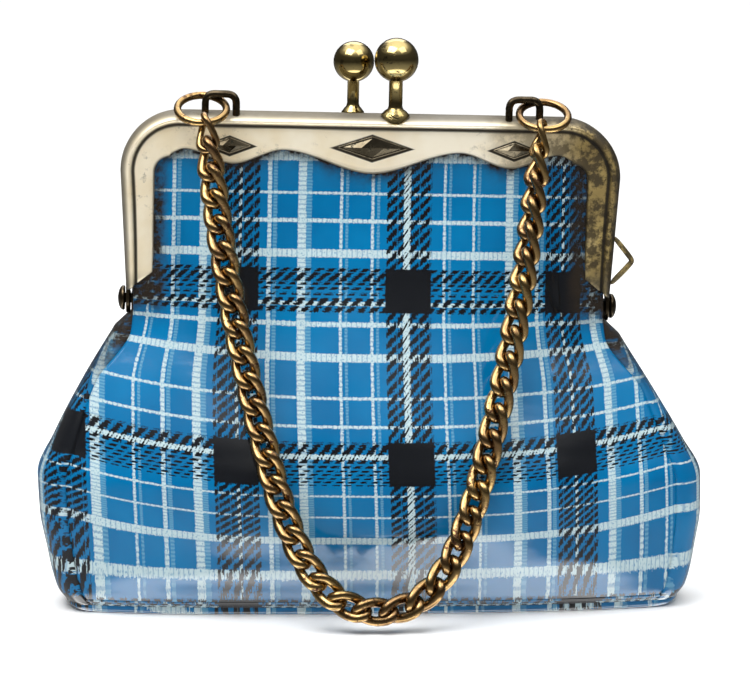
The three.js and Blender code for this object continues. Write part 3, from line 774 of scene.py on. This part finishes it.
def piping():
    """A thin rolled edge around the base seam."""
    run = base_outline()
    centres = np.column_stack([run[:, 0] + BAG_LEAN, run[:, 1], np.full(len(run), SEAM_Z + 1.2)])
    ahead = unit(np.roll(centres, -1, 0) - np.roll(centres, 1, 0))
    out = np.column_stack([ahead[:, 1], -ahead[:, 0], 0 * ahead[:, 0]])
    up = np.tile([0, 0, 1.0], (len(run), 1))
    obj = wire_loop("base_piping", tube(centres + 0.15 * out, out, up, PIPING_RADIUS, PIPING_SIDES))
    cloth_attribute(obj, np.repeat(centres[:, :2] * [1, 0] + PIPING_CLOTH, PIPING_SIDES, 0))
    finish_piece(obj, "vinyl", "tartan_vinyl", "bag")


# ---- metal frame


# Points of a frame half's outline along an arm, round a corner and along half of its top
ARM_STEPS, CORNER_STEPS, TOP_STEPS = 26, 22, 76
INNER_CORNER = 3.2


def corner_arc(x, z, radius):
    a = np.linspace(math.pi, math.pi / 2, CORNER_STEPS, endpoint=False)
    return np.column_stack([x + radius * np.cos(a), z + radius * np.sin(a)])


def mirrored(*runs):
    """The runs of a left half from its arm's end to the middle, and their mirror image."""
    half = np.vstack(runs)
    return np.vstack([half, half[:-1][::-1] * [-1, 1]])


def outer_run(inset, end_z):
    """Outline of a frame half at an inset from its outer edge, from the left arm's end to the right one's."""
    low = FRAME_HALF_WIDTH_LOW - inset
    high = FRAME_HALF_WIDTH - inset
    radius = FRAME_CORNER - inset
    cx = FRAME_HALF_WIDTH - FRAME_CORNER
    cz = FRAME_TOP - FRAME_CORNER
    t = np.linspace(0, 1, ARM_STEPS, endpoint=False)
    left = np.column_stack([-low + (low - high) * t, end_z + (cz - end_z) * t])
    x = np.linspace(-cx, 0, TOP_STEPS)
    return mirrored(left, corner_arc(-cx, cz, radius), np.column_stack([x, np.full(len(x), FRAME_TOP - inset)]))


# Depth of the pressed face's wavy lower edge below the frame's top, by distance from the middle
SCALLOPS = np.array([[0, 11.7], [17.7, 7.3], [27.7, 10.2], [37.4, 7.4], [41.6, 9.0]])


def scallop_height(x):
    return FRAME_TOP - smooth_rows(SCALLOPS, np.abs(x))[0]


def inner_run():
    """Inner edge matched point by point to outer_run: arm edge, a round corner, then the scallops."""
    corner_z = float(scallop_height(ARM_INNER)) - INNER_CORNER
    t = np.linspace(0, 1, ARM_STEPS, endpoint=False)
    left = np.column_stack([np.full(ARM_STEPS, -ARM_INNER), ARM_END_INNER + (corner_z - ARM_END_INNER) * t])
    x = np.linspace(-ARM_INNER + INNER_CORNER, 0, TOP_STEPS)
    return mirrored(left, corner_arc(x[0], corner_z, INNER_CORNER), np.column_stack([x, scallop_height(x)]))


# A raised lozenge's rings: share of its full size and height above the face, then the ridge's height
LOZENGE_RINGS = ((1.0, -0.3), (0.98, 0.1), (0.86, 0.22), (0.80, 0.18))
LOZENGE_RIDGE = 0.95


def lozenge_facets(name, spec, facing):
    """A raised lozenge with four flat facets on a narrow rim, standing in a dark border on the face."""
    cx, half_w, half_h, depth = spec
    cz = FRAME_TOP - depth
    face = FRAME_DEPTH + 0.12
    corners = [(-1, 0), (0, -1), (1, 0), (0, 1)]
    points = []
    for share, height in LOZENGE_RINGS:
        points += [(cx + half_w * share * a, facing * (face + height), cz + half_h * share * b)
                   for a, b in corners]
    points += [(cx + end * half_w, facing * (face + LOZENGE_RIDGE), cz) for end in (-0.3, 0.3)]
    faces = []
    for ring in range(3):
        for i in range(4):
            a, b = ring * 4 + i, ring * 4 + (i + 1) % 4
            faces.append((a, b, b + 4, a + 4))
    faces += [(12, 13, 17, 16), (13, 14, 17), (14, 15, 16, 17), (15, 12, 16), (3, 2, 1, 0)]
    return soften_edges(new_object(name, on_frame(points), faces, smooth=False), 0.12)


# Section of the flange, bead and groove: inset from the outer edge and depth, mm
BEAD = [(0.0, GAP / 2 + 0.02), (0.0, 1.4), (0.05, 2.6), (0.3, 3.8), (0.6, 4.5), (0.95, 5.1), (1.25, 5.55),
        (1.55, 5.85), (1.95, 5.85), (2.2, 5.5), (2.4, 5.15), (2.6, 4.98), (2.9, 5.02)]
FACE_STEPS = 34


def frame_half(name, facing):
    """A pressed half: flange, rolled bead, groove, dished face and rolled inner edge."""
    outer = outer_run(0, ARM_END_OUTER)
    inner = inner_run()
    across = inner - outer
    length = np.linalg.norm(across, axis=1)
    columns = [(outer + across * (inset / length)[:, None], depth) for inset, depth in BEAD]
    start = BEAD[-1][0] / length
    for k in range(1, FACE_STEPS + 1):
        t = k / FACE_STEPS
        crown = 0.22 * math.sin(math.pi * t)
        roll = -0.55 * float(smoothstep(0.93, 1.0, t))
        share = start + (1 - start) * t
        columns.append((outer + across * share[:, None], FRAME_DEPTH + 0.02 + crown + roll))
    columns.append((inner + across / length[:, None] * 0.02, FRAME_DEPTH - 0.95))
    columns.append((inner - across / length[:, None] * 0.5, FRAME_DEPTH - 1.05))
    points = np.zeros((len(outer), len(columns), 3))
    for k, (point, depth) in enumerate(columns):
        points[:, k] = np.column_stack([point[:, 0], np.full(len(outer), facing * depth), point[:, 1]])
    if facing > 0:
        # The rear arms' ends are cut round, to turn clear of the front ears
        z = points[..., 2]
        round_end = HINGE.z + np.sqrt(np.clip(EAR_CLEARANCE ** 2 - points[..., 1] ** 2, 0, None))
        low = np.maximum(ARM_END_OUTER, round_end)
        share = (z - ARM_END_OUTER) / (ARM_CUT_TOP - ARM_END_OUTER)
        points[..., 2] = np.where(z < ARM_CUT_TOP, low + share * (ARM_CUT_TOP - low), z)
    rows, cols = points.shape[:2]
    obj = new_object(name, on_frame(points), grid_faces(rows, cols, flip=facing > 0))
    # Painted shade on the rim, standing in for the dark surroundings it reflects, and painted shadow in the
    # groove under the bead; tarnish on the inner edge
    tarnish_and_shade = np.zeros((rows, cols), np.float32)
    tarnish_and_shade[:, :7] = (0.85, 0.85, 0.85, 0.85, 0.8, 0.6, 0.25)
    tarnish_and_shade[:, 9:14] = (0.35, 0.9, 1.0, 0.9, 0.35)
    tarnish_and_shade[:, -7:] = (0.08, 0.22, 0.4, 0.6, 0.8, 0.9, 0.9)
    obj.data.attributes.new("groove", "FLOAT", "POINT").data.foreach_set("value", tarnish_and_shade.ravel())
    thicken(obj, SHEET)
    return obj


def ear(name, side, inward, facing):
    """The round end of an arm, pierced by the rivet, with its neck."""
    low = FRAME_HALF_WIDTH_LOW - inward - EAR_SHEET
    angles = np.linspace(math.pi, math.pi * 2.12, 26)
    outline = [(EAR_RADIUS * math.cos(a), HINGE.z + EAR_RADIUS * math.sin(a)) for a in angles]
    outline += [(-GAP / 2, HINGE.z + 1.6), (-GAP / 2, ARM_END_OUTER + 4), (-EAR_RADIUS, ARM_END_OUTER + 4)]
    outline = np.array(outline) * [-facing, 1]
    near = np.column_stack([np.full(len(outline), side * low), outline])
    far = near + [side * EAR_SHEET, 0, 0]
    count = len(outline)
    faces = [tuple(range(count)), tuple(range(2 * count - 1, count - 1, -1))]
    faces += [(i, count + i, count + (i + 1) % count, (i + 1) % count) for i in range(count)]
    return soften_edges(new_object(name, on_frame(np.vstack([near, far])), faces, smooth=False), 0.15)


def back_lip(name, facing):
    """The channel's inner wall, behind the cloth."""
    outer = outer_run(0.3, ARM_END_OUTER + 3)
    inner = outer_run(5.0, ARM_END_OUTER + 3)
    y = facing * (GAP / 2 + 0.3)
    points = np.stack([np.column_stack([run[:, 0], np.full(len(run), y), run[:, 1]])
                       for run in (outer, (outer + inner) / 2, inner)], 1)
    obj = new_object(name, on_frame(points), grid_faces(len(outer), 3, flip=facing > 0))
    thicken(obj, SHEET, 0)
    return obj


def frame_pieces():
    for name, facing, body, inward in (("front_frame", -1, "bag", 0), ("rear_frame", 1, "rear_half", 1.1)):
        finish_piece(frame_half(f"{name}_shell", facing), "gold", "frame_gold", body, name)
        finish_piece(back_lip(f"{name}_lip", facing), "gold", "frame_gold", body)
        for side, word in SIDES:
            finish_piece(ear(f"{name}_ear_{word}", side, inward, facing), "dark", "frame_gold", body)
        for number, spec in enumerate(LOZENGES, 1):
            stud = lozenge_facets(f"{name}_lozenge_{number}", spec, facing)
            finish_piece(stud, "stud", "frame_gold", body)


RIVET_INNER, RIVET_HEAD = -2.2, 2.5


def rivet(side, word):
    inner, head = RIVET_INNER, RIVET_HEAD
    profile = [(0, inner - 0.7), (1.6, inner - 0.7), (1.9, inner - 0.5), (1.9, inner), (1.0, inner), (1.0, GAP),
               (head - 0.15, GAP), (head, GAP + 0.2)]
    for k in range(1, 10):
        a = k / 10 * math.pi / 2
        profile.append((head * math.cos(a), GAP + 0.3 + 1.1 * math.sin(a)))
    profile.append((0, GAP + 1.4))
    obj = lathe(f"hinge_rivet_{word}_turned", profile, 36)
    turn = Matrix.Rotation(side * math.pi / 2, 4, "Y")
    move = Matrix.Translation(Vector((side * FRAME_HALF_WIDTH_LOW, 0, HINGE.z)) * MM)
    tilt_piece(place(obj, move @ turn))
    finish_piece(obj, "dark", "dark_brass", "bag", f"hinge_rivet_{word}")


def tilt_piece(obj):
    centre = Matrix.Translation(HINGE * MM)
    return place(obj, centre @ Matrix.Rotation(TILT, 4, "Y") @ centre.inverted())


def knob(name, x, y, height, ball, stem, foot, body):
    base = FRAME_TOP - 0.1
    centre = FRAME_TOP + height
    start = math.asin(stem / ball)
    profile = [(0, FRAME_TOP - 2.3), (0.9, FRAME_TOP - 2.3), (0.9, base), (foot * 0.97, base),
               (foot, base + 0.12), (foot * 0.985, base + 0.3), (foot * 0.86, base + 0.62),
               (foot * 0.66 + stem * 0.2, base + 0.95), (stem * 1.12, base + 1.4), (stem, base + 2.0)]
    for a in np.linspace(start, math.pi, 28, endpoint=False):
        profile.append((ball * math.sin(a), centre - ball * math.cos(a)))
    profile.append((0, centre + ball))
    obj = lathe(f"{name}_turned", profile, 64)
    place(obj, Matrix.Translation(Vector((x, y, 0)) * MM))
    if y < 0:
        drape_foot(obj, y, base)
    tilt_piece(obj)
    finish_piece(obj, "knob", "knob_gold", body, name)


def drape_foot(obj, y, base):
    """The foot's forward edge is swaged down over the bead."""
    for vertex in obj.data.vertices:
        forward = -(vertex.co.y / MM - y) - 0.4
        low = 1 - smoothstep(base + 0.3, base + 1.6, vertex.co.z / MM)
        if forward > 0 and vertex.co.z / MM > base - 0.01:
            drop = float(low) * min(1.9, 0.24 * forward**2.2)
            vertex.co.z -= drop * MM


def swept_wire(name, points, radius):
    """A round wire along a run of points in mm."""
    curve = bpy.data.curves.new(name, "CURVE")
    curve.dimensions = "3D"
    curve.bevel_depth = radius * MM
    curve.bevel_resolution = 3
    curve.use_fill_caps = True
    spline = curve.splines.new("POLY")
    spline.points.add(len(points) - 1)
    for target, p in zip(spline.points, np.asarray(points, float) * MM):
        target.co = (*p, 1)
    holder = add_object(name + "_curve", curve)
    graph = bpy.context.evaluated_depsgraph_get()
    mesh = bpy.data.meshes.new_from_object(holder.evaluated_get(graph), depsgraph=graph)
    bpy.data.objects.remove(holder)
    for polygon in mesh.polygons:
        polygon.use_smooth = True
    return add_object(name, mesh)


LUG = {"x": 30.3, "y": -3.8, "half": 3.1, "rise": 3.6, "bend": 2.0, "foot": -1.6, "wire": 0.75,
       "turn": math.radians(6)}


def lug(side, word):
    half, rise, bend = LUG["half"], LUG["rise"], LUG["bend"]
    pts = [(-half, LUG["foot"])]
    pts += [(-half + bend * t**2, rise - bend * (1 - t) ** 2) for t in np.arange(13) / 12]
    pts += [(-x, z) for x, z in pts[::-1]]
    turn = LUG["turn"] * side
    run = [(side * LUG["x"] + x * math.cos(turn), LUG["y"] + x * math.sin(turn), FRAME_TOP + z) for x, z in pts]
    obj = swept_wire(f"lug_{word}_wire", on_frame(run), LUG["wire"])
    finish_piece(obj, "dark", "dark_brass", "bag", f"lug_{word}")


RING = {"x": 34, "radius": 4.85, "wire": 0.75, "tilt": math.radians(30), "y": -5.75, "z": FRAME_TOP + 0.65}


def ring(side, word):
    a = np.linspace(0, 2 * math.pi, 72, endpoint=False)
    across = np.array([1, 0, 0])
    along = np.array([0, math.cos(RING["tilt"]), math.sin(RING["tilt"])])
    normal = np.cross(across, along)
    centre = np.array([side * RING["x"], RING["y"], RING["z"]])
    out = np.cos(a)[:, None] * across + np.sin(a)[:, None] * along
    points = tube(centre + RING["radius"] * out, out, np.tile(normal, (72, 1)), RING["wire"], 16)
    obj = tilt_piece(wire_loop(f"ring_{word}_wire", points))
    finish_piece(obj, "chain", "chain_brass", "bag", f"ring_{word}")


# ---- chain

LINK_COUNT = 41
LINK_WIRE = 1.0
LINK_HALF_WIDTH = 1.85
LINK_SLACK = 0.42
LINK_TWIST = math.radians(62)
END_LINK = (0.72, 1.97, math.radians(44))  # the links in the rings: wire, half width, twist
# Turn about the chain's own run: of every link, and the extra at each end, with how many links it fades over
BASE_TURN = math.radians(6)
LEFT_TURN = (4, math.radians(46))
RIGHT_TURN = (16, math.radians(82))
HOOK_INSET = 0.6
CHAIN_HALF_SPAN = 33.3
CHAIN_DROP = 94
CHAIN_LEAN = 20.2
CHAIN_SWAY = 2.2
# The hanging loop's shape: share of its half span and share of its drop
CHAIN_SPREAD = [(1, 0), (0.965, 0.1), (0.92, 0.22), (0.855, 0.36), (0.775, 0.5),
                (0.665, 0.66), (0.56, 0.79), (0.41, 0.91), (0.22, 0.98), (0, 1)]


def chain_route():
    """Fine points of the hanging U from the left hook to the right hook, in mm, on the untilted frame."""
    hook = Vector((0, RING["y"] - RING["radius"] * math.cos(RING["tilt"]),
                   RING["z"] - RING["radius"] * math.sin(RING["tilt"])))
    hook += Vector((0, CHAIN_LEAN, CHAIN_DROP)).normalized() * HOOK_INSET
    left = [(-x, drop) for x, drop in CHAIN_SPREAD]
    right = CHAIN_SPREAD[:-1][::-1]
    knots = [np.array([x * CHAIN_HALF_SPAN + CHAIN_SWAY * d, hook.y - CHAIN_LEAN * d, hook.z - CHAIN_DROP * d])
             for x, d in left + right]
    return centripetal(knots, 120)


def centripetal(knots, steps):
    """Centripetal Catmull-Rom curve through the knots, as a fine run of points."""
    first = 2 * knots[0] - knots[1]
    last = 2 * knots[-1] - knots[-2]
    padded = [first, *knots, last]
    run = []
    for i in range(1, len(padded) - 2):
        p0, p1, p2, p3 = padded[i - 1:i + 3]
        d0, d1, d2 = [max(np.linalg.norm(b - a) ** 0.5, 1e-6) for a, b in ((p0, p1), (p1, p2), (p2, p3))]
        t1 = ((p1 - p0) / d0 - (p2 - p0) / (d0 + d1) + (p2 - p1) / d1) * d1
        t2 = ((p2 - p1) / d1 - (p3 - p1) / (d1 + d2) + (p3 - p2) / d2) * d1
        t = np.linspace(0, 1, steps, endpoint=False)[:, None]
        run.append(p1 + t1 * t + (-3 * p1 + 3 * p2 - 2 * t1 - t2) * t**2 + (2 * p1 - 2 * p2 + t1 + t2) * t**3)
    return np.vstack([*run, knots[-1]])


def link_mesh(inner_length, wire=LINK_WIRE, w=LINK_HALF_WIDTH, twist=LINK_TWIST):
    """One twisted curb link of half width w about the origin, long axis X."""
    half = inner_length / 2 + wire - w
    reach = half + w
    arc_steps, side_steps, sides = 14, 10, 14
    centres, outs = [], []
    for end in (1, -1):
        for k in range(arc_steps + 1):
            a = (k / arc_steps - 0.5) * math.pi
            centres.append((end * (half + w * math.cos(a)), end * w * math.sin(a), 0))
            outs.append((end * math.cos(a), end * math.sin(a), 0))
        for k in range(1, side_steps):
            x = end * half * (1 - 2 * k / side_steps)
            centres.append((x, end * w, 0))
            outs.append((0, end, 0))
    centres, outs = np.array(centres), np.array(outs)
    points = tube(centres, outs, np.tile([0, 0, 1.0], (len(centres), 1)), wire, sides)
    roll = -twist * centres[:, 0] / reach
    c, s = np.cos(roll)[:, None], np.sin(roll)[:, None]
    y, z = points[..., 1].copy(), points[..., 2].copy()
    points[..., 1] = y * c - z * s
    points[..., 2] = y * s + z * c
    return points


def chain_pieces():
    route = chain_route()
    steps = np.linalg.norm(np.diff(route, axis=0), axis=1)
    run = np.concatenate([[0], np.cumsum(steps)])
    pitch = run[-1] / LINK_COUNT

    def at(distance):
        return np.array([np.interp(distance, run, route[:, k]) for k in range(3)])

    middle_link = link_mesh(pitch + LINK_SLACK)
    end_link = link_mesh(pitch + LINK_SLACK, *END_LINK)
    plane_normal = unit(np.array([0, -CHAIN_DROP, CHAIN_LEAN]))
    for i in range(LINK_COUNT):
        middle_at = (i + 0.5) * pitch
        along = unit(at(middle_at + pitch / 2) - at(middle_at - pitch / 2))
        across = unit(np.cross(plane_normal, along))
        normal = np.cross(along, across)
        turn = (BASE_TURN + LEFT_TURN[1] * max(0, 1 - i / LEFT_TURN[0])
                - RIGHT_TURN[1] * max(0, 1 - (LINK_COUNT - 1 - i) / RIGHT_TURN[0]))
        c, s = math.cos(turn), math.sin(turn)
        across, normal = c * across + s * normal, c * normal - s * across
        shape = end_link if i in (0, LINK_COUNT - 1) else middle_link
        points = shape @ np.array([along, across, normal]) + at(middle_at)
        number = f"{i + 1:02d}"
        obj = wire_loop(f"curb_link_{number}", on_frame(points))
        finish_piece(obj, "chain", "chain_brass", "handle", f"chain_link_{number}")


def side_loop():
    """The thin bent strip on the right arm."""
    x = FRAME_HALF_WIDTH
    run = np.array([(x - 1.2, 76.2), (x + 1.6, 72.9), (x + 2.6, 71.6), (x + 2.75, 71.2), (x + 2.6, 70.8),
                    (x + 1.2, 69.2), (x - 1.6, 66.2)])
    ahead = unit(np.gradient(run, axis=0))
    side = np.column_stack([ahead[:, 1], -ahead[:, 0]])
    thickness, half_width, y = 0.55, 0.85, -3.4
    a = np.linspace(0, 2 * math.pi, 12, endpoint=False)
    across = half_width * np.sign(np.cos(a)) * np.abs(np.cos(a)) ** 0.6
    deep = thickness * np.sign(np.sin(a)) * np.abs(np.sin(a)) ** 0.6
    points = np.array([np.column_stack([p[0] + s[0] * deep, y + across, p[1] + s[1] * deep])
                       for p, s in zip(run, side)])
    count = len(run)
    faces = grid_faces(count, 12, wrap_columns=True)
    faces += [tuple(range(12)), tuple(range(count * 12 - 1, count * 12 - 13, -1))]
    obj = new_object("side_loop_strip", on_frame(points), faces)
    fix_normals(obj)
    sub = obj.modifiers.new("smooth", "SUBSURF")
    sub.levels = sub.render_levels = 2
    apply_modifiers(obj)
    finish_piece(obj, "gold", "frame_gold", "bag", "side_loop")


def carried_nodes():
    """CAD nodes that keep their shape get their final materials."""
    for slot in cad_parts["base_board"].material_slots:
        slot.material = MATERIALS["board"]


# ---- stage, lights, camera


def stage():
    half = 8.0
    floor = new_object("studio_floor", np.array([(-half, -half, 0), (half, -half, 0), (half, half, 0),
                                                 (-half, half, 0)]) / MM, [(0, 1, 2, 3)], smooth=False)
    set_material(floor, floor_material())
    floor.visible_glossy = False


def area_light(name, place_mm, target_mm, size_mm, power):
    data = bpy.data.lights.new(name, "AREA")
    data.shape = "RECTANGLE"
    data.size, data.size_y = size_mm[0] * MM, size_mm[1] * MM
    data.energy = power
    obj = add_object(name, data)
    obj.location = Vector(place_mm) * MM
    aim = Vector(target_mm) - Vector(place_mm)
    obj.rotation_euler = aim.to_track_quat("-Z", "Y").to_euler()


# Studio surround: light by the sine of the elevation, the same all the way round
SURROUND = [(-1.0, 0.6), (-0.94, 1.5), (-0.88, 4.6), (-0.80, 4.6), (-0.70, 0.6), (-0.45, 0.4), (-0.12, 0.12),
            (0.0, 0.06), (0.45, 0.10), (0.68, 0.6), (0.84, 2.4), (1.0, 2.6)]
SURROUND_PEAK = 4.6


def lights():
    bpy.context.scene.view_settings.view_transform = "Standard"
    world = bpy.data.worlds.new("studio")
    bpy.context.scene.world = world
    world.use_nodes = True
    tree = world.node_tree
    background = tree.nodes["Background"]
    coordinate, parts, height, ramp = [tree.nodes.new("ShaderNode" + kind) for kind in (
        "TexCoord", "SeparateXYZ", "MapRange", "ValToRGB")]
    height.inputs["From Min"].default_value = -1
    fill_ramp(ramp, [((sine + 1) / 2, [level / SURROUND_PEAK] * 3) for sine, level in SURROUND])
    background.inputs["Strength"].default_value = SURROUND_PEAK
    tree.links.new(coordinate.outputs["Generated"], parts.inputs[0])
    tree.links.new(parts.outputs["Z"], height.inputs[0])
    link_run(tree, height, ramp, background)
    area_light("key_left", (-230, -250, 640), (-10, 0, 60), (460, 380), 3.4)
    area_light("fill_right", (300, -260, 620), (0, 0, 60), (360, 300), 0.8)
    area_light("back", (0, 420, 520), (0, 0, 60), (420, 300), 1.0)


CAMERA = {"azimuth": 2.19, "elevation": 8.63, "distance": 600, "target": (1.45, 0, 52.7), "lens": 141.792}


def camera():
    az, el = math.radians(CAMERA["azimuth"]), math.radians(CAMERA["elevation"])
    forward = Vector((math.sin(az) * math.cos(el), math.cos(az) * math.cos(el), -math.sin(el)))
    data = bpy.data.cameras.new("camera")
    data.sensor_width = 36
    data.lens = CAMERA["lens"]
    data.clip_start, data.clip_end = 0.01, 20
    obj = add_object("camera", data)
    obj.location = (Vector(CAMERA["target"]) - forward * CAMERA["distance"]) * MM
    obj.rotation_euler = forward.to_track_quat("-Z", "Y").to_euler()
    bpy.context.scene.camera = obj


camera()
stage()
lights()
bag_pieces()
base_piece()
piping()
frame_pieces()
for side_sign, side_word in SIDES:
    rivet(side_sign, side_word)
knob("front_clasp_knob", x=4.5, y=-3.4, height=11, ball=4.4, stem=1.38, foot=2.9, body="bag")
knob("rear_clasp_knob", x=-3.8, y=2.65, height=10.2, ball=4.1, stem=1.2, foot=2.3, body="rear_half")
for side_sign, side_word in SIDES:
    lug(side_sign, side_word)
    ring(side_sign, side_word)
side_loop()
chain_pieces()
carried_nodes()
